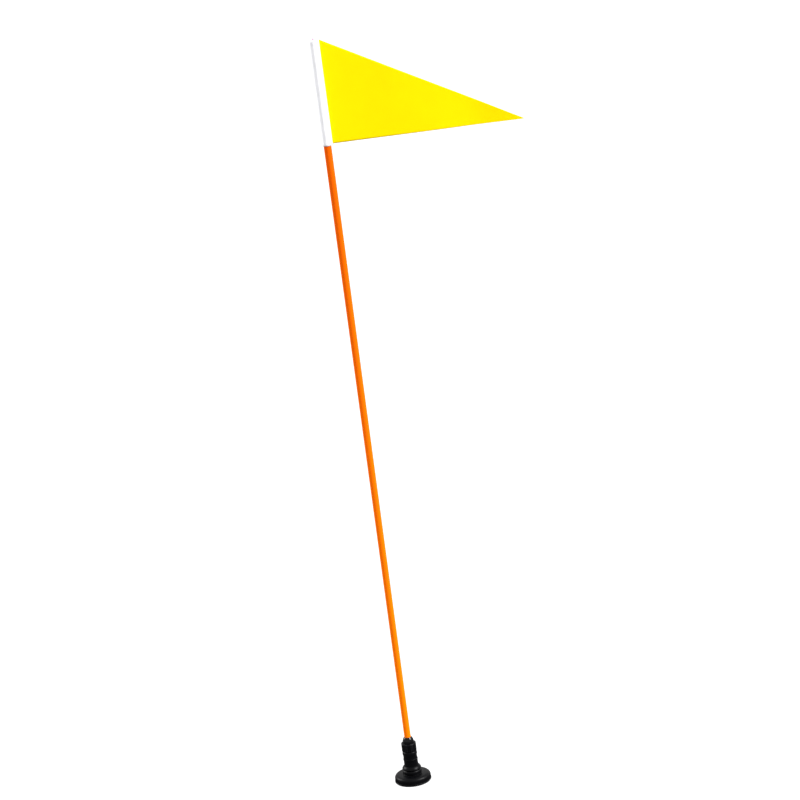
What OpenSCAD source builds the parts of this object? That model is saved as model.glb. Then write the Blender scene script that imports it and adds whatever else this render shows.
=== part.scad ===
// Golf marker flagstick: a triangular pennant on a fibreglass rod, clamped in a sprung rubber
// neck on a round magnetic foot. The origin is on the rod's axis at the foot's underside, +Z
// runs up the rod, and the pennant flies toward +X.

/* [Pole] */
// Height of the tip pin's top above the ground
overall_h = 1140; // [600:10:1300]
// Diameter of the fibreglass rod where the neck grips it
rod_d = 10; // [9.8:0.1:10.2]
// Diameter of the rod's upper end
rod_top_d = 11.4; // [10.4:0.1:11.6]

/* [Pennant] */
// Length of the pennant's edge along the rod
hoist = 150; // [100:5:200]
// Length of the pennant away from the rod
fly = 275; // [150:1:350]
// Thickness of the pennant's cloth
cloth = 0.5; // [0.3:0.1:0.6]
// Thickness of the sleeve's tape
tape = 0.4; // [0.3:0.1:0.6]
// Width of the sleeve's flat seam beside the rod
seam = 1.6; // [1.5:0.1:4]

/* [Foot] */
// Diameter of the rubber foot
foot_d = 55.6; // [54:0.2:64]
// Height of the foot's shoulder above the ground
foot_h = 12.2; // [12:0.1:12.4]
// Number of magnets in the foot
magnets = 6; // [3:1:7]

/* [Neck] */
// Number of shallow flutes round the boot's lower end
flutes = 20; // [12:1:24]
// Diameter of the flexible boot between its beads
boot_d = 21.4; // [20.8:0.1:21.6]
// Diameter of the spring's wire
wire_d = 2.2; // [1.8:0.1:2.2]

/* [Clamp nut] */
// Width of the nut across its flats
nut_flats = 22.4; // [21.4:0.2:22.8]
// Number of flats on the nut
nut_sides = 8; // [6:1:12]
// Number of slots in the collet
collet_slots = 4; // [3:1:6]

/* [Hidden] */
$fn = 96;

// Clearances: running fits, loose fits, stacked flat faces, and the parts in the foot's pocket
fit = 0.08;
loose = 0.2;
face_gap = 0.05;
pocket_gap = 0.2;

// Foot, from the ground up
foot_r = foot_d / 2;
pad_h = 1.2;
pad_r = foot_r - 1.2;
pocket_r = foot_r - 3.1;
tray_h = 5;
plate_t = 4;
plate_z = pad_h + tray_h + 0.3;
pocket_top = plate_z + plate_t + 0.1;
shoulder_r = foot_h - 6.6;
boss_r = 14.5;
boss_round = 3;
boss_base = foot_h + 0.5;
boss_top = 19.4;
magnet_r = 5;
magnet_t = 4;
magnet_ring_r = 16.5;

// Bolt that holds the neck on the foot: an M5 with an 8 mm hexagon
bolt_r = 2.5;
hex_r = 4 / cos(30);
bolt_head_h = 3.5;
bolt_top = 35;
lock_nut_h = 3.6;
washer_r = 5;
washer_t = 0.8;
swivel_r = 12.6;

// Neck
neck_z = boss_top + 0.8;
plug_flange_h = 1.8;
plug_flange_r = 9.6;
plug_top = 29.8;
ring_top = 25.4;
ring_r = 14.4;
ring_top_r = 11;
boot_r = boot_d / 2;
boot_bore = 8.5;
boot_top = 48.9;
boot_tail_r = 9.6;
boot_tail_z = neck_z + 2.7;
wire_r = wire_d / 2;
coil_r = 8.2 - wire_r;
spigot_r = 5.9;
socket_z = 43;
socket_step = 47;

// Clamp above the neck
rod_r = rod_d / 2;
barrel_r = 8.4;
barrel_top = 59;
rod_seat = 46;
collet_z = 54.5;
nut_z = 50.2;
nut_top = barrel_top + 3.2;
nut_r = nut_flats / 2 + 0.5;
nut_shoulder = barrel_top + 1.5;
nut_mouth_r = 7.1;
dome_r = 8.6;
dome_top = nut_top + 9.1;

// Rod and flag
flag_top = overall_h - 3.5;
rod_top = flag_top - 1.5;
rod_top_r = rod_top_d / 2;
taper_z = 110;
ferrule_top = 53.5;
ferrule_t = 0.5;
pin_r = 1.45;
pin_head_r = 2.2;
sleeve_bore = rod_top_r + loose;
sleeve_r = sleeve_bore + tape;
seam_x = sleeve_r + seam;
seam_half = tape + cloth / 2;
stitch_w = 1.3;
flag_bottom = flag_top - hoist;
sleeve_bottom = flag_bottom - 2;

// Upright ring with a true bore
module ring(outer, bore, z, h) {
  translate([0, 0, z])
    difference() {
      cylinder(r = outer, h = h);
      translate([0, 0, -1])
        cylinder(r = bore, h = h + 2);
    }
}

// Upright hexagonal prism of the bolt's size
module hexagon(z, h) {
  translate([0, 0, z])
    cylinder(r = hex_r, h = h, $fn = 6);
}

// Half outline of the foot's cover: side wall with a lip, round shoulder, sloping top and boss
module cover_outline() {
  lip_h = 1.5;
  wall_r = foot_r - 0.4;
  wall_h = foot_h - shoulder_r;
  neck_in = boss_r - 0.5;
  boss_side = boss_top - boss_round;
  translate([0, pad_h])
    square([foot_r, lip_h]);
  translate([0, pad_h])
    square([wall_r, wall_h - pad_h]);
  translate([wall_r - shoulder_r, wall_h])
    circle(r = shoulder_r);
  translate([0, wall_h])
    square([wall_r - shoulder_r, shoulder_r]);
  polygon([[0, foot_h - 0.1], [wall_r - shoulder_r, foot_h], [neck_in, boss_base], [0, boss_base]]);
  translate([0, boss_base - 0.1])
    square([neck_in, 1]);
  translate([0, boss_base + 0.6])
    square([boss_r, boss_side - boss_base - 0.6]);
  translate([boss_r - boss_round, boss_side])
    circle(r = boss_round);
  translate([0, boss_side - 0.1])
    square([boss_r - boss_round, boss_round + 0.1]);
}

// Rubber cover over the plate and the magnets, with the boss that the neck stands on
module foot_cover() {
  color("#1c1c1e")
    difference() {
      rotate_extrude()
        intersection() {
          cover_outline();
          translate([0, pad_h])
            square([foot_r, boss_top]);
        }
      translate([0, 0, pad_h - 1])
        cylinder(r = pocket_r, h = pocket_top - pad_h + 1);
      cylinder(r = bolt_r + fit, h = boss_top + 1);
    }
}

// Non-slip pad that closes the underside
module foot_pad() {
  color("#2b2b2d")
    cylinder(r = pad_r, h = pad_h);
}

// Places a copy on each magnet's centre
module at_magnets() {
  for (i = [0 : magnets - 1])
    rotate([0, 0, i * 360 / magnets])
      translate([magnet_ring_r, 0, 0])
        children();
}

// Cast zinc tray that holds the magnets and weighs the foot down
module magnet_tray() {
  floor_t = 1;
  head_room = 0.5;
  color("dimgray")
    translate([0, 0, pad_h + 0.1])
      difference() {
        cylinder(r = pocket_r - pocket_gap, h = tray_h);
        translate([0, 0, floor_t])
          at_magnets()
            cylinder(r = magnet_r + 0.1, h = tray_h);
        translate([0, 0, floor_t])
          cylinder(r = hex_r + head_room, h = tray_h);
      }
}

// Nickel-plated disc magnets
module foot_magnets() {
  color("silver")
    translate([0, 0, plate_z - face_gap - magnet_t])
      at_magnets()
        cylinder(r = magnet_r, h = magnet_t - face_gap);
}

// Steel plate behind the magnets
module foot_plate() {
  color("lightslategray")
    ring(pocket_r - pocket_gap, bolt_r + fit, plate_z, plate_t);
}

// Bolt from under the plate up into the neck
module foot_bolt() {
  color("gainsboro")
    union() {
      hexagon(plate_z - bolt_head_h, bolt_head_h);
      translate([0, 0, plate_z - 1])
        cylinder(r = bolt_r, h = bolt_top - plate_z + 1);
    }
}

// Nylon washer on which the neck turns
module swivel_washer() {
  color("#111111")
    ring(swivel_r, bolt_r + fit, boss_top, neck_z - boss_top - face_gap);
}

// Washer under the lock nut
module bolt_washer() {
  color("gainsboro")
    ring(washer_r, bolt_r + fit, plug_top + face_gap, washer_t);
}

// Lock nut on the bolt
module lock_nut() {
  color("gainsboro")
    difference() {
      hexagon(plug_top + washer_t + 2 * face_gap, lock_nut_h);
      cylinder(r = bolt_r + 0.02, h = bolt_top);
    }
}

// Tapered ring that clamps the plug and the boot's tail to the foot. Its side is a shallow arc
// of radius swell_r from the lower edge to the top.
module neck_ring() {
  edge = 0.8;
  swell_r = 7;
  low = [ring_r, neck_z + edge];
  side = [ring_top_r, ring_top] - low;
  chord = norm(side);
  set_back = sqrt(swell_r * swell_r - chord * chord / 4);
  centre = low + side / 2 - set_back * [side.y, -side.x] / chord;
  color("#1a1a1c")
    difference() {
      rotate_extrude()
        union() {
          polygon([[0, neck_z], [ring_r - edge, neck_z], low, [ring_top_r, ring_top], [0, ring_top]]);
          translate([ring_r - edge, low.y])
            circle(r = edge);
          intersection() {
            translate(centre)
              circle(r = swell_r);
            translate([0, low.y])
              square([ring_r, ring_top - low.y]);
          }
        }
      translate([0, 0, neck_z - 1])
        cylinder(r = plug_flange_r + fit, h = plug_flange_h + 1 + fit);
      cylinder(r = boot_bore, h = ring_top + 1);
      translate([0, 0, boot_tail_z - fit])
        cylinder(r = boot_tail_r + fit, h = ring_top);
    }
}

// Metal plug inside the spring's lower coils
module anchor_plug() {
  color("darkgoldenrod")
    difference() {
      union() {
        translate([0, 0, neck_z])
          cylinder(r = plug_flange_r, h = plug_flange_h);
        translate([0, 0, neck_z])
          cylinder(r = spigot_r, h = plug_top - neck_z);
      }
      cylinder(r = bolt_r + fit, h = plug_top + 1);
    }
}

// Round wire swept along a helix: one ring of corners for each step, joined to the next
module coil(radius, wire, z, h, turns) {
  sides = 8;
  steps = round(turns * 16);
  points = [
    for (i = [0 : steps], k = [0 : sides - 1])
      let (a = i * turns * 360 / steps, b = k * 360 / sides, r = radius + wire * cos(b))
        [r * cos(a), r * sin(a), z + h * i / steps + wire * sin(b)]
  ];
  walls = [
    for (i = [0 : steps - 1], k = [0 : sides - 1])
      let (n = (k + 1) % sides)
        [i * sides + k, (i + 1) * sides + k, (i + 1) * sides + n, i * sides + n]
  ];
  start = [for (k = [0 : sides - 1]) k];
  end = [for (k = [0 : sides - 1]) steps * sides + sides - 1 - k];
  polyhedron(points = points, faces = concat([start], walls, [end]), convexity = 10);
}

// Spring that brings the neck upright again
module flex_spring() {
  spring_z = neck_z + plug_flange_h + face_gap + wire_r;
  spring_h = socket_step - face_gap - wire_r - spring_z;
  color("silver")
    coil(coil_r, wire_r - 0.02, spring_z, spring_h, floor(spring_h / (wire_d + 0.3)));
}

// Half outline of the boot: a plain tube with a bead below the waist and one above it
module boot_outline() {
  low_bead = 35.4;
  low_rise = 0.35;
  low_bead_r = 1.3;
  high_bead = 44.7;
  high_rise = 0.5;
  high_bead_r = 1.6;
  difference() {
    union() {
      translate([0, boot_tail_z])
        square([boot_tail_r, ring_top + 1 - boot_tail_z]);
      translate([0, ring_top + 0.1])
        square([boot_r, boot_top - ring_top - 0.1]);
      translate([boot_r + low_rise - low_bead_r, low_bead])
        circle(r = low_bead_r);
      translate([boot_r + high_rise - high_bead_r, high_bead])
        circle(r = high_bead_r);
    }
    translate([-1, 0])
      square([boot_bore + 1, boot_top + 1]);
  }
}

// Pointed bib on the boot's front, from the clip down to a blunt tip
module bib() {
  tip_z = 36.4;
  side_z = 48.1;
  blunt = 2;
  blunt_z = tip_z + 0.9;
  raised = 0.45;
  half_w = boot_r + 1;
  intersection() {
    ring(boot_r + raised, boot_bore + 0.5, tip_z, boot_top - tip_z);
    rotate([90, 0, 0])
      linear_extrude(height = half_w)
        polygon([
          [-half_w, boot_top + 1], [-half_w, side_z], [-blunt, blunt_z], [0, tip_z],
          [blunt, blunt_z], [half_w, side_z], [half_w, boot_top + 1]
        ]);
  }
}

// Rubber boot over the spring
module neck_boot() {
  flute_r = 0.7;
  flute_depth = 0.35;
  flute_h = 6;
  color("#202022")
    difference() {
      union() {
        rotate_extrude()
          boot_outline();
        bib();
      }
      for (i = [0 : flutes - 1])
        rotate([0, 0, i * 360 / flutes])
          translate([boot_r + flute_r - flute_depth, 0, ring_top + 1.2])
            cylinder(r = flute_r, h = flute_h, $fn = 24);
    }
}

// Ring that holds the boot's upper end on the socket
module boot_clip() {
  color("#0c0c0c")
    ring(boot_r - 0.5, barrel_r + face_gap, boot_top + face_gap, 0.9);
}

// Socket for the rod, with the spring's upper spigot, the thread for the nut and the collet's cone
module rod_socket() {
  cone_r = rod_r + 1.1;
  mouth_r = barrel_r - 1.3;
  color("darkgray")
    difference() {
      rotate_extrude()
        polygon([
          [0, socket_z], [spigot_r - 1, socket_z], [spigot_r, socket_z + 1],
          [spigot_r, socket_step], [barrel_r, socket_step], [barrel_r, barrel_top],
          [0, barrel_top]
        ]);
      translate([0, 0, rod_seat])
        cylinder(r = rod_r + fit, h = barrel_top);
      rotate_extrude()
        polygon([
          [0, collet_z], [cone_r, collet_z], [mouth_r, barrel_top],
          [mouth_r, barrel_top + 1], [0, barrel_top + 1]
        ]);
    }
}

// Split collet that grips the rod
module collet() {
  slot_w = 0.8;
  solid_h = 1.6;
  collet_top = barrel_top + 0.3;
  color("ivory")
    difference() {
      rotate_extrude()
        polygon([
          [rod_r + fit, collet_z + 0.1], [rod_r + 0.95, collet_z + 0.1],
          [barrel_r - 1.4, barrel_top], [barrel_r - 1.4, collet_top],
          [rod_r + fit, collet_top]
        ]);
      for (i = [0 : collet_slots - 1])
        rotate([0, 0, (i + 0.5) * 360 / collet_slots])
          translate([rod_r - 1, -slot_w / 2, collet_z + solid_h])
            cube([barrel_r, slot_w, barrel_top]);
    }
}

// Washer between the nut and the collet
module thrust_washer() {
  color("gainsboro")
    ring(barrel_r - 0.1, rod_r + fit, barrel_top + 0.4, 1);
}

// Ring that keeps water out of the collet
module o_ring() {
  cord_r = 0.5;
  color("black")
    translate([0, 0, nut_shoulder + cord_r + 0.05])
      rotate_extrude()
        translate([rod_r + 0.1 + cord_r, 0])
          circle(r = cord_r, $fn = 32);
}

// Glossy dome round the rod on top of the nut
module rod_seal() {
  arc_r = 13;
  seat = nut_top + 0.1;
  straight = 0.6;
  chamber_r = nut_mouth_r - 0.8;
  color("#0a0a0a")
    difference() {
      rotate_extrude()
        union() {
          translate([0, seat])
            square([dome_r, straight]);
          intersection() {
            translate([dome_r - arc_r, seat + straight])
              circle(r = arc_r);
            translate([0, seat])
              square([dome_r, dome_top - seat]);
          }
          translate([0, nut_shoulder + 0.3])
            square([nut_mouth_r - 0.1, 2]);
        }
      cylinder(r = rod_r + fit, h = dome_top + 1);
      translate([0, 0, nut_shoulder])
        cylinder(r = chamber_r, h = seat - nut_shoulder);
    }
}

// Nut with flats that closes the collet on the rod
module clamp_nut() {
  edge = 2.2;
  foot_step = 0.5;
  flats_r = nut_flats / 2 / cos(180 / nut_sides);
  color("#17171a")
    difference() {
      intersection() {
        rotate([0, 0, 90 + 180 / nut_sides])
          translate([0, 0, nut_z])
            cylinder(r = flats_r, h = nut_top - nut_z, $fn = nut_sides);
        rotate_extrude()
          union() {
            translate([0, nut_z])
              square([nut_r - foot_step, nut_top - edge - nut_z]);
            translate([0, nut_z + foot_step])
              square([nut_r, nut_top - edge - nut_z - foot_step]);
            translate([nut_r - edge, nut_top - edge])
              circle(r = edge);
            translate([0, nut_top - edge])
              square([nut_r - edge, edge]);
          }
      }
      translate([0, 0, nut_z - 1])
        cylinder(r = barrel_r + fit, h = nut_shoulder - nut_z + 1);
      cylinder(r = nut_mouth_r, h = nut_top + 1);
    }
}

// Fibreglass rod: it thickens slowly above the neck, and has a spigot for its ferrule and a
// hole for its pin
module rod() {
  pin_depth = 10;
  color("darkorange")
    difference() {
      union() {
        translate([0, 0, rod_seat + 0.2 + ferrule_t])
          cylinder(r = rod_r - ferrule_t - face_gap, h = ferrule_top - rod_seat);
        translate([0, 0, ferrule_top])
          cylinder(r = rod_r, h = taper_z - ferrule_top);
        translate([0, 0, taper_z])
          cylinder(r1 = rod_r, r2 = rod_top_r, h = rod_top - taper_z);
      }
      translate([0, 0, rod_top - pin_depth])
        cylinder(r = pin_r, h = pin_depth + 1);
    }
}

// Metal cup on the rod's lower end
module rod_ferrule() {
  color("silver")
    difference() {
      translate([0, 0, rod_seat + 0.2])
        cylinder(r = rod_r, h = ferrule_top - rod_seat - 0.2);
      translate([0, 0, rod_seat + 0.2 + ferrule_t])
        cylinder(r = rod_r - ferrule_t, h = ferrule_top);
    }
}

// Pin in the rod's upper end, which keeps the sleeve on
module tip_pin() {
  pin_base = rod_top - 9;
  head_z = flag_top + 0.15;
  head_h = overall_h - head_z;
  color("#e8d4dc")
    union() {
      translate([0, 0, pin_base])
        cylinder(r = pin_r, h = head_z - pin_base + 1);
      rotate_extrude()
        intersection() {
          translate([0, overall_h - pin_head_r])
            circle(r = pin_head_r);
          translate([0, head_z])
            square([pin_head_r, head_h]);
        }
    }
}

// Outer shape of the sleeve: a tube round the rod with a flat seam beside it
module sleeve_solid(z, h) {
  shoulder = (sleeve_r - 0.1) * [cos(38), sin(38)];
  seam_start = seam_x - 1;
  translate([0, 0, z])
    union() {
      cylinder(r = sleeve_r, h = h);
      linear_extrude(height = h)
        polygon([
          shoulder, [seam_start, seam_half], [seam_x, seam_half], [seam_x, -seam_half],
          [seam_start, -seam_half], [shoulder.x, -shoulder.y]
        ]);
    }
}

// White tape sleeve over the rod
module sleeve() {
  h = flag_top - tape - sleeve_bottom;
  color("white")
    difference() {
      sleeve_solid(sleeve_bottom, h);
      translate([0, 0, sleeve_bottom - 1])
        cylinder(r = sleeve_bore, h = h + 2);
      translate([seam_x - stitch_w, -cloth / 2, sleeve_bottom - 1])
        cube([stitch_w + 1, cloth, h + 2]);
    }
}

// Closed top of the sleeve, under the pin's head
module sleeve_cap() {
  color("white")
    difference() {
      sleeve_solid(flag_top - tape, tape);
      translate([0, 0, flag_top - tape - 1])
        cylinder(r = pin_r + 0.15, h = tape + 2);
    }
}

// Yellow pennant: a right triangle with a blunt tip, its hoist sewn into the seam
module pennant() {
  blunt = 1.1;
  color("yellow")
    translate([0, cloth / 2, 0])
      rotate([90, 0, 0])
        linear_extrude(height = cloth)
          polygon([
            [seam_x - stitch_w, flag_bottom], [seam_x + fly, flag_bottom],
            [seam_x + fly, flag_bottom + blunt], [seam_x, flag_top],
            [seam_x, flag_top - tape], [seam_x - stitch_w, flag_top - tape]
          ]);
}

foot_cover();
foot_pad();
magnet_tray();
foot_magnets();
foot_plate();
foot_bolt();
swivel_washer();
bolt_washer();
lock_nut();
neck_ring();
anchor_plug();
flex_spring();
neck_boot();
boot_clip();
rod_socket();
collet();
thrust_washer();
o_ring();
rod_seal();
clamp_nut();
rod();
rod_ferrule();
tip_pin();
sleeve();
sleeve_cap();
pennant();
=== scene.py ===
"""Golf marker flagstick: the looks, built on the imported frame. Metres, Z up, pennant toward +X."""
import math

import bmesh
import bpy
from mathutils import Matrix, Vector, noise


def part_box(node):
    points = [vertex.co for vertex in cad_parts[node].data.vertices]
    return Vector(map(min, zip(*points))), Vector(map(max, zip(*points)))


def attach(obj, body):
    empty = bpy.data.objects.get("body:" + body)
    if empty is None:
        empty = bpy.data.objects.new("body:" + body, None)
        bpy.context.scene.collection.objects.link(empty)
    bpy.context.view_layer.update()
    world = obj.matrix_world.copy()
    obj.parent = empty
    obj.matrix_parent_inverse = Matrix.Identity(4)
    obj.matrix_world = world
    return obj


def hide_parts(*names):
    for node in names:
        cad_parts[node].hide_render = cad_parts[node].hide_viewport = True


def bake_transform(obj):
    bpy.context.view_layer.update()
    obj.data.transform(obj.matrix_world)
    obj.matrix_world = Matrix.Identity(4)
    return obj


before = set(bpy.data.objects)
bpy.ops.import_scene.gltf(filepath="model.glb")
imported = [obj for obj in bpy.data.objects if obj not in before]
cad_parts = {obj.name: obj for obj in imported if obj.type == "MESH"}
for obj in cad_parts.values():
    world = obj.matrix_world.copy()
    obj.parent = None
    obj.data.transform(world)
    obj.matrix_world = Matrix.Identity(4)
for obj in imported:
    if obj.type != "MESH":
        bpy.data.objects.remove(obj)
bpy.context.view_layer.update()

MM = 0.001
TAU = 2 * math.pi


# ---------------------------------------------------------------- sizes, from the frame


def high(node):
    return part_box(node)[1]


def low(node):
    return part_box(node)[0]


ROD_R = high("rod").x
SLEEVE_R = high("sleeve").y
SEAM_X = high("sleeve").x
SLEEVE_BOTTOM = low("sleeve").z
FLAG_TOP = high("pennant").z
FLAG_BOTTOM = low("pennant").z
FLY_X = high("pennant").x
BOOT_TOP = high("neck_boot").z
BOOT_BOTTOM = low("neck_boot").z
BOOT_R = high("neck_boot").y - 0.5 * MM
RING_TOP = high("neck_ring").z
NUT_TOP = high("clamp_nut").z
NUT_BOTTOM = low("clamp_nut").z
NUT_FLAT = high("clamp_nut").y
STICK_TOP = high("tip_pin").z
FOOT_R = high("foot_cover").x
FOOT_BOTTOM = low("foot_cover").z
BOSS_TOP = high("foot_cover").z
SEAM_HALF = 0.65 * MM
SEAM_IN = 1.3 * MM
TIP = 1.1 * MM
NUT_SIDES = 8
FOOT_RIBS = 80
BOOT_FLUTES = 20


# ---------------------------------------------------------------- materials


class Finish:
    """A procedural material: one Principled shader and the nodes that feed it."""

    def __init__(self, name, **sockets):
        self.material = bpy.data.materials.new(name)
        self.material.use_nodes = True
        self.tree = self.material.node_tree
        self.shader = self.tree.nodes["Principled BSDF"]
        self.feed(self.shader, {key.replace("_", " "): value for key, value in sockets.items()})

    def feed(self, node, inputs):
        for key, value in inputs.items():
            socket = node.inputs[key]
            if isinstance(value, bpy.types.NodeSocket):
                self.tree.links.new(value, socket)
            elif isinstance(value, bpy.types.Node):
                self.tree.links.new(value.outputs[0], socket)
            else:
                socket.default_value = value

    def add(self, kind, inputs, **settings):
        node = self.tree.nodes.new("ShaderNode" + kind)
        for key, value in settings.items():
            setattr(node, key, value)
        self.feed(node, inputs)
        return node

    def place(self, output="Object"):
        return self.add("TexCoord", {}).outputs[output]

    def stretched(self, vector, scale):
        return self.add("Mapping", {"Vector": vector, "Scale": scale})

    def noise(self, vector, scale, detail=3.0, rough=0.55):
        inputs = {"Vector": vector, "Scale": scale, "Detail": detail, "Roughness": rough}
        return self.add("TexNoise", inputs).outputs["Fac"]

    def math(self, operation, a, b=0.0):
        node = self.add("Math", {}, operation=operation)
        self.feed(node, {0: a, 1: b})
        return node

    def span(self, value, low_in, high_in, low_out, high_out):
        inputs = {
            "Value": value,
            "From Min": low_in,
            "From Max": high_in,
            "To Min": low_out,
            "To Max": high_out,
        }
        return self.add("MapRange", inputs)

    def blend(self, factor, a, b):
        node = self.add("Mix", {}, data_type="RGBA")
        self.feed(node, {0: factor, 6: a, 7: b})
        return node.outputs[2]

    def colour(self, value):
        self.feed(self.shader, {"Base Color": value})

    def rough(self, value):
        self.feed(self.shader, {"Roughness": value})

    def bump(self, height, distance, under=None):
        inputs = {"Height": height, "Distance": distance, "Strength": 1.0}
        if under is not None:
            inputs["Normal"] = under.outputs[0]
        node = self.add("Bump", inputs)
        self.feed(self.shader, {"Normal": node})
        return node


def rgb(red, green, blue):
    return (red, green, blue, 1.0)


def moulded(name, tone, sheen_low, sheen_high, grain=1400, depth=0.04 * MM):
    """Black moulded rubber or nylon: fine grain, uneven sheen, and a trace of dust."""
    f = Finish(name, Specular_IOR_Level=0.08)
    place = f.place()
    patches = f.noise(place, 55, 4)
    dust = f.span(f.noise(place, 130, 6, 0.7), 0.56, 0.8, 0.0, 0.3)
    dark, light = rgb(tone * 0.7, tone * 0.7, tone), rgb(tone * 1.2, tone * 1.2, tone * 1.7)
    clean = f.blend(patches, dark, light)
    f.colour(f.blend(dust, clean, rgb(tone * 2.6, tone * 2.5, tone * 2.3)))
    f.rough(f.span(f.noise(place, 90, 5), 0.3, 0.7, sheen_low, sheen_high))
    f.bump(f.noise(place, grain, 2), depth)
    return f


def glossy_rubber():
    f = moulded("glossy_rubber", 0.0012, 0.07, 0.14, grain=500, depth=0.004 * MM)
    f.feed(f.shader, {"Specular IOR Level": 0.2})
    return f.material


def worn_nylon():
    """The nut's nylon, rubbed lighter along its edges."""
    f = moulded("nut_nylon", 0.0012, 0.28, 0.38, grain=2000, depth=0.02 * MM)
    edge = f.add("Attribute", {}, attribute_name="edge").outputs["Fac"]
    rub = f.math("MULTIPLY", edge, f.span(f.noise(f.place(), 700, 4), 0.35, 0.65, 0.2, 1.0))
    under = f.shader.inputs["Base Color"].links[0].from_socket
    f.colour(f.blend(rub, under, rgb(0.014, 0.014, 0.017)))
    return f.material


def brushed(name, tone, roughness, scale=(400, 400, 30)):
    f = Finish(name, Metallic=1.0)
    lines = f.noise(f.stretched(f.place(), scale), 3.0, 5)
    dark = [c * 0.8 for c in tone]
    f.colour(f.blend(lines, rgb(*dark), rgb(*tone)))
    f.rough(f.span(lines, 0.3, 0.7, roughness * 0.8, roughness * 1.25))
    f.bump(lines, 0.01 * MM)
    return f.material


def fibreglass():
    """Orange fibreglass: glossy, a little yellower toward the foot, with faint long fibres."""
    f = Finish("orange_fibreglass", Specular_IOR_Level=0.04)
    place = f.place()
    up = f.add("SeparateXYZ", {"Vector": place}).outputs["Z"]
    height = f.span(up, 0.07, FLAG_BOTTOM, 0.0, 1.0)
    tint = f.add("ValToRGB", {"Fac": height})
    stops = tint.color_ramp.elements
    stops[0].color = rgb(0.94, 0.195, 0.001)
    stops[1].color = rgb(0.80, 0.105, 0.001)
    middle = stops.new(0.55)
    middle.color = rgb(0.91, 0.148, 0.001)
    fibres = f.noise(f.stretched(place, (1500, 1500, 14)), 1.0, 4)
    f.colour(f.blend(f.span(fibres, 0.35, 0.65, 0.0, 0.22), tint, rgb(0.74, 0.10, 0.001)))
    f.rough(f.span(f.noise(place, 60, 4), 0.3, 0.7, 0.24, 0.38))
    f.bump(fibres, 0.012 * MM)
    return f.material


def woven(name, tone, yarn, depth, twill=False, **sockets):
    """Woven cloth from the mesh's own flat measure, in metres: yarns over and under each other."""
    f = Finish(name, Roughness=0.75, Sheen_Weight=0.08, Sheen_Roughness=0.4, **sockets)
    flat = f.add("SeparateXYZ", {"Vector": f.place("UV")})
    across = f.math("DIVIDE", flat.outputs["X"], yarn)
    along = f.math("DIVIDE", flat.outputs["Y"], yarn)
    warp = f.math("ABSOLUTE", f.math("SINE", f.math("MULTIPLY", across, math.pi)))
    weft = f.math("ABSOLUTE", f.math("SINE", f.math("MULTIPLY", along, math.pi)))
    steps = f.math("ADD", f.math("FLOOR", across), f.math("FLOOR", along))
    repeat = 4.0 if twill else 2.0
    over = f.math("LESS_THAN", f.math("FLOORED_MODULO", steps, repeat), repeat / 2)
    chosen = f.add("Mix", {}, data_type="FLOAT")
    f.feed(chosen, {0: over, 2: warp, 3: weft})
    height = chosen.outputs[0]
    # The weave's low places, where one yarn dips under another, are painted darker as painted shade
    # between the yarns. Faint random patches of tone are multiplied in.
    shade = f.span(height, 0.0, 0.7, 0.9, 1.0)
    patches = f.span(f.noise(f.place("UV"), 40, 4), 0.3, 0.7, 0.975, 1.0)
    light = f.math("MULTIPLY", shade, patches)
    f.colour(f.blend(light, rgb(0, 0, 0), rgb(*tone)))
    f.bump(height, depth)
    return f


def pale_nylon(name, tone, **sockets):
    f = Finish(name, Subsurface_Weight=0.25, Subsurface_Scale=1.5 * MM, **sockets)
    place = f.place()
    shade = [c * 0.9 for c in tone]
    f.colour(f.blend(f.noise(place, 400, 3), rgb(*shade), rgb(*tone)))
    f.rough(f.span(f.noise(place, 600, 3), 0.3, 0.7, 0.25, 0.4))
    f.bump(f.noise(place, 900, 2), 0.008 * MM)
    return f.material


def floor_finish():
    """A pale floor, lit from within so that it stays white and throws little light back up."""
    f = Finish("pale_floor", Specular_IOR_Level=0.05, Emission_Color=rgb(1, 1, 1))
    place = f.place()
    f.colour(f.blend(f.noise(place, 1.5, 4), rgb(0.11, 0.11, 0.11), rgb(0.13, 0.13, 0.13)))
    f.rough(f.span(f.noise(place, 3, 3), 0.3, 0.7, 0.8, 0.95))
    seen = f.add("LightPath", {}).outputs["Is Camera Ray"]
    f.feed(f.shader, {"Emission Strength": f.math("MULTIPLY", seen, 0.95)})
    return f.material


# ---------------------------------------------------------------- mesh helpers


def built(name, points, faces, uv=None, smooth=True):
    """A mesh object from points and faces. uv gives each point its place on the flat material."""
    mesh = bpy.data.meshes.new(name)
    mesh.from_pydata(points, [], faces)
    if uv is not None:
        layer = mesh.uv_layers.new(name="flat")
        for loop in mesh.loops:
            layer.data[loop.index].uv = uv[loop.vertex_index]
    bm = bmesh.new()
    bm.from_mesh(mesh)
    bmesh.ops.recalc_face_normals(bm, faces=bm.faces)
    bm.to_mesh(mesh)
    bm.free()
    for face in mesh.polygons:
        face.use_smooth = smooth
    made = bpy.data.objects.new(name, mesh)
    bpy.context.collection.objects.link(made)
    return made


def paint(made, material):
    made.data.materials.clear()
    made.data.materials.append(material)
    return made


def grid_faces(rows, columns, closed_rows, closed_columns):
    """Quads of a grid whose points run column by column within each row."""
    faces = []
    for i in range(rows if closed_rows else rows - 1):
        for k in range(columns if closed_columns else columns - 1):
            a, b = i * columns, (i + 1) % rows * columns
            n = (k + 1) % columns
            faces.append((a + k, a + n, b + n, b + k))
    return faces


def revolved(name, path, steps, shape=None):
    """A closed body of revolution about the rod. path is a closed loop of (radius, height), and
    shape(angle, radius, height) may change each point's radius."""
    points, uv = [], []
    for i in range(steps):
        angle = TAU * i / steps
        for radius, height in path:
            r = shape(angle, radius, height) if shape else radius
            points.append((r * math.cos(angle), r * math.sin(angle), height))
            uv.append((angle * radius, height))
    return built(name, points, grid_faces(steps, len(path), True, True), uv)


def line(start, end, count):
    """Points from start up to but not including end."""
    return [
        tuple(a + (b - a) * i / count for a, b in zip(start, end)) for i in range(count)
    ]


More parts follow.
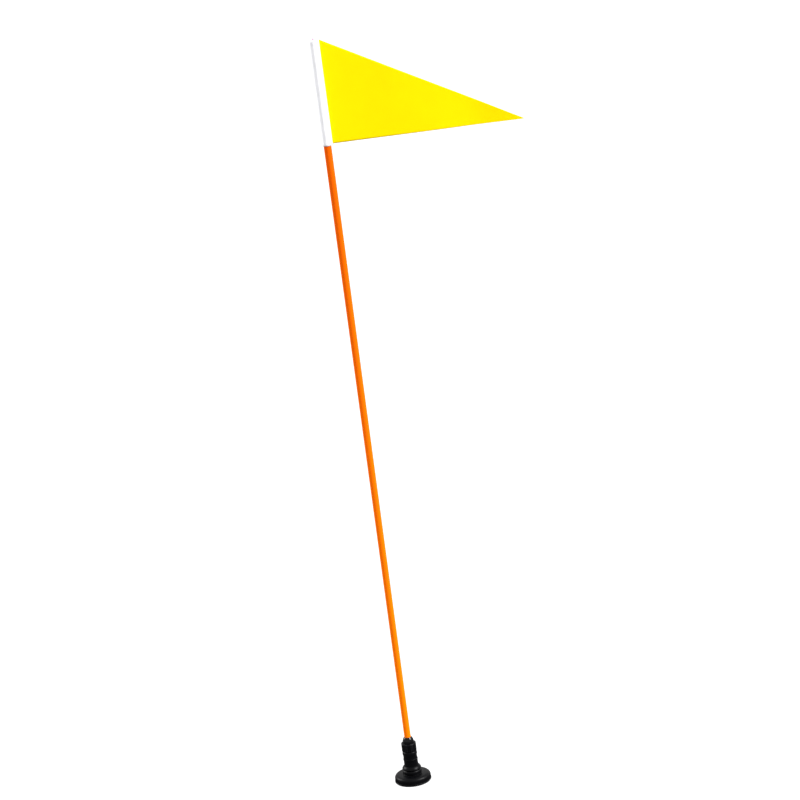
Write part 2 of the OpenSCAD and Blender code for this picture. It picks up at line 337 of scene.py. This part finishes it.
def arc(centre, radius, first, last, count):
    """Points round part of a circle, from one angle in degrees to another, both ends included."""
    turns = [math.radians(first + (last - first) * i / count) for i in range(count + 1)]
    return [(centre[0] + radius * math.cos(t), centre[1] + radius * math.sin(t)) for t in turns]


def eased(value, low_end, high_end):
    t = min(1.0, max(0.0, (value - low_end) / (high_end - low_end)))
    return t * t * (3 - 2 * t)


# ---------------------------------------------------------------- foot


def make_foot():
    """The rubber cover: a lip, an upright wall with close ribs, a round shoulder and the boss."""
    wall, shoulder, wall_top = FOOT_R - 0.4 * MM, 5.6 * MM, 6.6 * MM
    inner = wall - shoulder
    lip_top, slope_top = FOOT_BOTTOM + 1.5 * MM, 12.7 * MM
    boss, boss_round = 14.5 * MM, 3 * MM
    boss_side = BOSS_TOP - boss_round
    pocket, pocket_top, bore = FOOT_R - 3.1 * MM, 10.6 * MM, 2.58 * MM
    path = arc((FOOT_R - 0.3 * MM, FOOT_BOTTOM + 0.3 * MM), 0.3 * MM, -90, 0, 3)
    path += arc((FOOT_R - 0.3 * MM, lip_top - 0.3 * MM), 0.3 * MM, 0, 90, 3)
    path += line((wall, lip_top + 0.05 * MM), (wall, wall_top), 14)
    path += arc((inner, wall_top), shoulder, 0, 90, 20)
    path += line((inner, wall_top + shoulder), (boss - 0.5 * MM, slope_top), 8)[1:]
    path += line((boss - 0.5 * MM, slope_top), (boss, slope_top + 0.6 * MM), 3)
    path += line((boss, slope_top + 0.6 * MM), (boss, boss_side), 4)
    path += arc((boss - boss_round, boss_side), boss_round, 0, 90, 12)
    path += line((boss - boss_round, BOSS_TOP), (bore, BOSS_TOP), 4)[1:]
    path += line((bore, BOSS_TOP), (bore, pocket_top), 4)
    path += line((bore, pocket_top), (pocket, pocket_top), 6)
    path += line((pocket, pocket_top), (pocket, FOOT_BOTTOM), 4)
    path += [(pocket, FOOT_BOTTOM)]
    depth = 0.45 * MM
    rib_start, rib_end, fade = lip_top, wall_top + 3.2 * MM, 0.5 * MM

    def shape(angle, radius, height):
        if radius <= pocket or radius > wall + 0.05 * MM:
            return radius
        shown = eased(height, rib_start, rib_start + fade)
        shown *= 1 - eased(height, wall_top + fade, rib_end)
        groove = 0.5 - 0.5 * math.cos(angle * FOOT_RIBS)
        return radius - depth * shown * groove ** 2

    foot = revolved("foot_skin", path, FOOT_RIBS * 8, shape)
    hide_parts("foot_cover")
    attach(foot, "foot")
    return foot


# ---------------------------------------------------------------- neck


def boot_swell(angle, height):
    """How far the boot stands out from its plain tube, at an angle round it and a height."""
    low_bead = (35.4 * MM, 1.4 * MM, 0.35 * MM)
    high_bead = (44.7 * MM, 1.8 * MM, 0.5 * MM)
    waist, waist_half, waist_depth = 40.4 * MM, 2.4 * MM, 0.22 * MM
    flute_depth = 0.34 * MM
    swell = 0.0
    for middle, half, rise in (low_bead, high_bead):
        inside = 1 - ((height - middle) / half) ** 2
        if inside > 0:
            swell = max(swell, rise * math.sqrt(inside))
    swell -= waist_depth * math.exp(-(((height - waist) / waist_half) ** 2))
    above = height - RING_TOP
    fluted = eased(above, 1.1 * MM, 2.1 * MM) * (1 - eased(above, 6.4 * MM, 7.6 * MM))
    groove = max(0.0, math.cos(angle * BOOT_FLUTES)) ** 2
    swell -= flute_depth * fluted * groove
    return max(swell, bib_swell(angle, height, swell))


def bib_swell(angle, height, swell):
    """The pointed bib on the front: a raised tongue with a fine groove along its edge."""
    if math.sin(angle) > 0:
        return swell
    tip, side, tip_round = 36.4 * MM, 48.1 * MM, 1.4 * MM
    step, groove_in, groove_half, groove_depth = 0.6 * MM, 1.5 * MM, 0.35 * MM, 0.25 * MM
    across = abs(math.cos(angle)) * BOOT_R
    reach = (math.hypot(across, tip_round) - tip_round) / (BOOT_R - 1.1 * MM)
    above = height - tip - (side - tip) * reach
    raised = step * eased(above, 0, 0.5 * MM)
    cut = groove_depth * math.exp(-(((above - groove_in) / groove_half) ** 2))
    top = 1 - eased(height, BOOT_TOP - 1.2 * MM, BOOT_TOP - 0.2 * MM)
    return (raised - cut) * top + swell * (1 - 0.6 * eased(above, 0, 0.7 * MM))


def make_boot():
    """The rubber boot round the spring, from its tail inside the ring to its rolled top."""
    bore, tube, tail = 8.5 * MM, BOOT_R, 9.6 * MM
    round_top = 0.7 * MM
    path = line((bore, BOOT_BOTTOM), (tail, BOOT_BOTTOM), 2)
    path += line((tail, BOOT_BOTTOM), (tail, RING_TOP), 8)
    path += line((tail, RING_TOP + 0.1 * MM), (tube, RING_TOP + 0.1 * MM), 2)
    path += line((tube, RING_TOP + 0.1 * MM), (tube, BOOT_TOP - round_top), 110)
    path += arc((tube - round_top, BOOT_TOP - round_top), round_top, 0, 90, 6)
    path += line((bore, BOOT_TOP), (bore, BOOT_BOTTOM), 30)

    def shape(angle, radius, height):
        if radius < tube - 0.2 * MM or height > BOOT_TOP - round_top / 2:
            return radius
        return radius + boot_swell(angle, height)

    boot = revolved("boot_skin", path, 200, shape)
    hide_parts("neck_boot")
    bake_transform(boot)
    return boot


def make_spring():
    """Round wire along the spring's helix."""
    wire = 1.08 * MM
    lowest, highest = low("flex_spring"), high("flex_spring")
    radius = highest.x - wire
    bottom, top = lowest.z + wire, highest.z - wire
    turns, per_turn, sides = 9, 40, 12
    rows = turns * per_turn + 1
    points, uv = [], []
    for i in range(rows):
        a = TAU * i / per_turn
        z = bottom + (top - bottom) * i / (rows - 1)
        for k in range(sides):
            b = TAU * k / sides
            r = radius + wire * math.cos(b)
            points.append((r * math.cos(a), r * math.sin(a), z + wire * math.sin(b)))
            uv.append((a * radius, b * wire))
    faces = grid_faces(rows, sides, False, True)
    faces += [tuple(range(sides)), tuple(range((rows - 1) * sides, rows * sides))]
    spring = built("spring_coil", points, faces, uv)
    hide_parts("flex_spring")
    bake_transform(spring)
    return spring


def make_nut():
    """The clamp nut: flats with softly rounded corners and a round top edge."""
    rim, mouth, thread = NUT_FLAT + 0.5 * MM, 7.1 * MM, 8.48 * MM
    outside, outer_skin = 9.8 * MM, 10.3 * MM
    corner_half, crown_half, crown_share = 0.12 * MM, 0.5 * MM, 0.7
    shoulder_z = NUT_TOP - 1.7 * MM
    top_round, foot_round, soft = 2.2 * MM, 0.4 * MM, 0.16 * MM
    path = arc((rim - foot_round, NUT_BOTTOM + foot_round), foot_round, -90, 0, 4)
    path += line((rim, NUT_BOTTOM + foot_round), (rim, NUT_TOP - top_round), 24)[1:]
    path += arc((rim - top_round, NUT_TOP - top_round), top_round, 0, 90, 10)
    path += line((rim - top_round, NUT_TOP), (mouth, NUT_TOP), 5)[1:]
    path += line((mouth, NUT_TOP), (mouth, shoulder_z), 3)
    path += line((mouth, shoulder_z), (thread, shoulder_z), 2)
    path += line((thread, shoulder_z), (thread, NUT_BOTTOM), 8)
    path += line((thread, NUT_BOTTOM), (rim - foot_round, NUT_BOTTOM), 4)
    side = TAU / NUT_SIDES

    def flat_radius(angle):
        off = (angle + TAU / 4 + side / 2) % side - side / 2
        return NUT_FLAT / math.cos(off)

    def shape(angle, radius, height):
        if radius < outside:
            return radius
        flat = flat_radius(angle)
        return -soft * math.log(math.exp(-radius / soft) + math.exp(-flat / soft))

    nut = revolved("nut_body", path, 320, shape)
    edge = nut.data.attributes.new("edge", "FLOAT", "POINT")
    for vertex in nut.data.vertices:
        x, y, z = vertex.co
        gap = abs(flat_radius(math.atan2(y, x)) - rim) / corner_half
        corner = math.exp(-gap * gap) if math.hypot(x, y) > outer_skin else 0.0
        crown = math.exp(-(((z - NUT_TOP + top_round * crown_share) / crown_half) ** 2))
        edge.data[vertex.index].value = max(corner, crown * crown_share)
    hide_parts("clamp_nut")
    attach(nut, "nut")
    return nut


# ---------------------------------------------------------------- flag


def sleeve_outline():
    """The sleeve's section, anticlockwise from the seam's lower corner: (x, y) points."""
    half = SEAM_HALF
    seam_start = SEAM_X - 1.1 * MM
    reach = math.hypot(seam_start, half)
    touch = math.acos(SLEEVE_R / reach) + math.atan(half / seam_start)
    corner = 0.25 * MM
    side = arc((SEAM_X - corner, half - corner), corner, 0, 90, 3)
    side += line((SEAM_X - corner, half), (seam_start, half), 3)[1:]
    tangent = (SLEEVE_R * math.cos(touch), SLEEVE_R * math.sin(touch))
    side += line((seam_start, half), tangent, 7)
    far = arc((0, 0), SLEEVE_R, math.degrees(touch), 360 - math.degrees(touch), 72)
    mirrored = [(x, -y) for x, y in reversed(side)]
    return side + far + mirrored


def make_sleeve():
    """Tape wrapped round the rod, closed by its seam and by a cap under the pin."""
    outline = sleeve_outline()
    count = len(outline)
    bore, hole, thick = ROD_R + 0.2 * MM, 1.6 * MM, 0.4 * MM
    top, rounding = FLAG_TOP, 0.5 * MM
    ripple_depth, stand_off, pucker, pitch = 0.08 * MM, 0.05 * MM, 0.05 * MM, 2.5 * MM

    def inward(share):
        """The outline drawn in toward a small circle round the pin."""
        ring = []
        for x, y in outline:
            a = math.atan2(y, x)
            near_x, near_y = hole * math.cos(a), hole * math.sin(a)
            ring.append((x + (near_x - x) * share, y + (near_y - y) * share))
        return ring

    def round_bore():
        turns = [math.atan2(y, x) for x, y in outline]
        return [(bore * math.cos(a), bore * math.sin(a)) for a in turns]

    rows = []
    height = top - SLEEVE_BOTTOM
    steps = 72
    for i in range(steps + 1):
        z = SLEEVE_BOTTOM + (height - rounding) * i / steps
        ring = []
        for x, y in outline:
            spot = Vector((x * 90, y * 90, z * 55))
            round_part = x < SEAM_X - 1.8 * MM
            ripple = ripple_depth * noise.noise(spot) if round_part else 0.0
            pinch = 0.0 if round_part else pucker * math.cos(TAU * z / pitch)
            grow = 1 + (ripple + stand_off) / math.hypot(x, y)
            ring.append((x * grow if round_part else x, (y + math.copysign(pinch, y)) * grow, z))
        rows.append(ring)
    closing = ((0.02, 0.3), (0.06, 0.12), (0.12, 0.04), (0.3, 0.0), (0.6, 0.0), (1.0, 0.0))
    for share, drop in closing:
        rows.append([(x, y, top - drop * MM) for x, y in inward(share)])
    rows.append([(x, y, top - thick) for x, y in inward(1.0)])
    inner_steps = 12
    for i in range(inner_steps + 1):
        z = top - thick - (top - thick - SLEEVE_BOTTOM) * i / inner_steps
        rows.append([(x, y, z) for x, y in round_bore()])
    points = [point for ring in rows for point in ring]
    uv, wrap = [], []
    distance = 0.0
    for i, (x, y) in enumerate(outline):
        if i:
            distance += math.dist((x, y), outline[i - 1])
        wrap.append(distance)
    for ring in rows:
        uv += [(wrap[i], ring[i][2]) for i in range(count)]
    sleeve = built("sleeve_tape", points, grid_faces(len(rows), count, True, True), uv)
    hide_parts("sleeve", "sleeve_cap")
    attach(sleeve, "flag")
    return sleeve


def pennant_wave(x, z):
    """How far the cloth stands out of its plane: nothing at the seam, a slow wave at the fly."""
    along = max(0.0, (x - SEAM_X) / (FLY_X - SEAM_X))
    up = (z - FLAG_BOTTOM) / (FLAG_TOP - FLAG_BOTTOM)
    wave = math.sin(TAU * (x - SEAM_X) / 0.17 + 1.2 * up + 0.4)
    droop = math.sin(TAU * (x - SEAM_X) / 0.09 - 2.0 * up)
    return (1.5 * MM * wave + 0.35 * MM * droop) * along ** 1.2


def make_pennant():
    """One thin closed sheet in the shape of a right triangle, its hoist inside the seam."""
    hoist_x = SEAM_X - SEAM_IN
    columns, rows = 150, 64
    thickness, rim_width, rim_share = 0.32 * MM, 0.25 * MM, 0.55
    inside_seam = 0.1 * MM
    reach = FLY_X - SEAM_X
    front, back, uv = [], [], []
    for i in range(columns):
        x = hoist_x + (FLY_X - hoist_x) * i / (columns - 1)
        share = max(0.0, x - SEAM_X) / reach
        height = (FLAG_TOP - FLAG_BOTTOM) * (1 - share) + TIP * share
        height -= inside_seam if x < SEAM_X else 0.0
        for k in range(rows):
            v = k / (rows - 1)
            z = FLAG_BOTTOM + height * v
            rim = min(v, 1 - v) * height < rim_width
            half = thickness / 2 * (rim_share if rim else 1.0)
            y = pennant_wave(x, z)
            front.append((x, y - half, z))
            back.append((x, y + half, z))
            uv.append((x, z))
    half_count = len(front)
    faces = grid_faces(columns, rows, False, False)
    faces += [tuple(half_count + n for n in reversed(face)) for face in faces]
    rim_loop = list(range(rows))
    rim_loop += [i * rows + rows - 1 for i in range(1, columns)]
    rim_loop += [(columns - 1) * rows + k for k in range(rows - 2, -1, -1)]
    rim_loop += [i * rows for i in range(columns - 2, 0, -1)]
    for a, b in zip(rim_loop, rim_loop[1:] + rim_loop[:1]):
        faces.append((a, b, half_count + b, half_count + a))
    pennant = built("pennant_cloth", front + back, faces, uv + uv)
    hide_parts("pennant")
    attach(pennant, "flag")
    return pennant


def make_stitches():
    """A row of lockstitches down each face of the seam."""
    pitch, length, thread = 2.5 * MM, 2.05 * MM, 0.15 * MM
    x = SEAM_X - SEAM_IN / 2
    bottom, top = SLEEVE_BOTTOM + 1.4 * MM, FLAG_TOP - 1.2 * MM
    count = int((top - bottom) / pitch)
    sides, along = 7, 9
    points, faces, uv = [], [], []
    for n in range(count):
        middle = bottom + (n + 0.5) * pitch
        for side in (-1, 1):
            first = len(points)
            for i in range(along):
                t = i / (along - 1)
                z = middle + length * (t - 0.5)
                arch = math.sin(math.pi * t)
                centre = SEAM_HALF + thread * (1.1 * arch ** 0.5 - 0.75)
                for k in range(sides):
                    b = TAU * k / sides
                    y = side * (centre + thread * math.sin(b))
                    points.append((x + thread * math.cos(b), y, z))
                    uv.append((b * thread, z))
            ring = grid_faces(along, sides, False, True)
            faces += [tuple(first + v for v in face) for face in ring]
            faces.append(tuple(range(first, first + sides)))
            faces.append(tuple(range(first + (along - 1) * sides, first + along * sides)))
    stitches = built("seam_stitches", points, faces, uv)
    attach(stitches, "flag")
    return stitches


# ---------------------------------------------------------------- stage, lights and camera


def add_floor():
    half = 30
    corners = [(-half, -half, 0), (half, -half, 0), (half, half, 0), (-half, half, 0)]
    ground = built("floor", corners, [(0, 1, 2, 3)], smooth=False)
    paint(ground, floor_finish())


def add_sun(name, side, height, strength, spread):
    """A soft sun, side degrees round to the right of the front and height degrees up.
    spread is its angle across, in degrees."""
    data = bpy.data.lights.new(name, "SUN")
    data.energy = strength
    data.angle = math.radians(spread)
    lamp = bpy.data.objects.new(name, data)
    lamp.rotation_euler = (math.radians(90 - height), 0, math.radians(side))
    bpy.context.collection.objects.link(lamp)


def add_lights():
    add_sun("key", 66, 36, 5.6, 32)
    add_sun("fill", -110, 30, 2.5, 30)
    world = bpy.data.worlds.new("studio")
    world.use_nodes = True
    bpy.context.scene.world = world
    sky = world.node_tree.nodes["Background"]
    sky.inputs["Color"].default_value = rgb(1, 1, 1)


def add_camera():
    """Long lens, looking a little down at the middle of the stick, rolled so that it leans left."""
    elevation, roll = math.radians(15.33), math.radians(7.51)
    distance, lens = 4.056, 124.6
    aim = Vector((0.0553, 0, 0.5237 * STICK_TOP))
    ahead = Vector((0, math.cos(elevation), -math.sin(elevation)))
    across = Vector((1, 0, 0))
    up = across.cross(ahead)
    tilted_up = up * math.cos(roll) + across * math.sin(roll)
    tilted_across = across * math.cos(roll) - up * math.sin(roll)
    data = bpy.data.cameras.new("camera")
    data.lens = lens
    data.clip_end = 200
    camera = bpy.data.objects.new("camera", data)
    axes = Matrix((tilted_across, tilted_up, -ahead)).transposed()
    camera.matrix_world = Matrix.Translation(aim - ahead * distance) @ axes.to_4x4()
    bpy.context.collection.objects.link(camera)
    bpy.context.scene.camera = camera


# ---------------------------------------------------------------- everything together


def finish_nodes():
    """Materials of the CAD nodes that show or lie inside."""
    ring_rubber = moulded("ring_rubber", 0.0014, 0.26, 0.36).material
    pad_rubber = moulded("pad_rubber", 0.02, 0.6, 0.75, grain=500, depth=0.2 * MM).material
    gloss = glossy_rubber()
    nylon = moulded("washer_nylon", 0.0014, 0.3, 0.4, grain=2000, depth=0.02 * MM).material
    tray = brushed("cast_zinc", (0.40, 0.41, 0.43), 0.5, (300, 300, 300))
    zinc = brushed("zinc_steel", (0.62, 0.63, 0.64), 0.34)
    nickel = brushed("nickel", (0.72, 0.70, 0.66), 0.14)
    brass = brushed("brass", (0.72, 0.50, 0.20), 0.3)
    alloy = brushed("alloy", (0.70, 0.71, 0.72), 0.32)
    looks = {
        "neck_ring": ring_rubber,
        "foot_pad": pad_rubber,
        "rod_seal": gloss,
        "o_ring": gloss,
        "swivel_washer": nylon,
        "boot_clip": nylon,
        "magnet_tray": tray,
        "foot_plate": zinc,
        "foot_bolt": zinc,
        "bolt_washer": zinc,
        "lock_nut": zinc,
        "thrust_washer": zinc,
        "foot_magnets": nickel,
        "anchor_plug": brass,
        "rod_socket": alloy,
        "rod_ferrule": alloy,
        "collet": pale_nylon("natural_nylon", (0.80, 0.77, 0.68)),
        "tip_pin": pale_nylon("pin_nylon", (0.66, 0.43, 0.49), Coat_Weight=0.3),
        "rod": fibreglass(),
    }
    for node, material in looks.items():
        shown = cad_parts[node]
        for index in range(len(shown.material_slots)):
            shown.material_slots[index].material = material


def main():
    bpy.context.scene.view_settings.view_transform = "Standard"
    finish_nodes()
    paint(make_foot(), moulded("foot_rubber", 0.0014, 0.30, 0.42).material)
    paint(make_boot(), moulded("boot_rubber", 0.0014, 0.28, 0.38).material)
    paint(make_spring(), brushed("spring_steel", (0.45, 0.45, 0.46), 0.3, (60, 60, 60)))
    paint(make_nut(), worn_nylon())
    white = woven("white_tape", (0.93, 0.93, 0.96), 0.42 * MM, 0.05 * MM, twill=True)
    sleeve = paint(make_sleeve(), white.material)
    thread = woven("white_thread", (0.88, 0.88, 0.88), 0.16 * MM, 0.03 * MM, twill=True)
    stitches = paint(make_stitches(), thread.material)
    yellow = woven("yellow_cloth", (0.97, 0.74, 0.0), 0.30 * MM, 0.035 * MM)
    yellow.feed(yellow.shader, {"Specular IOR Level": 0.03, "Sheen Weight": 0.0})
    pennant = paint(make_pennant(), yellow.material)
    add_floor()
    add_lights()
    add_camera()


main()
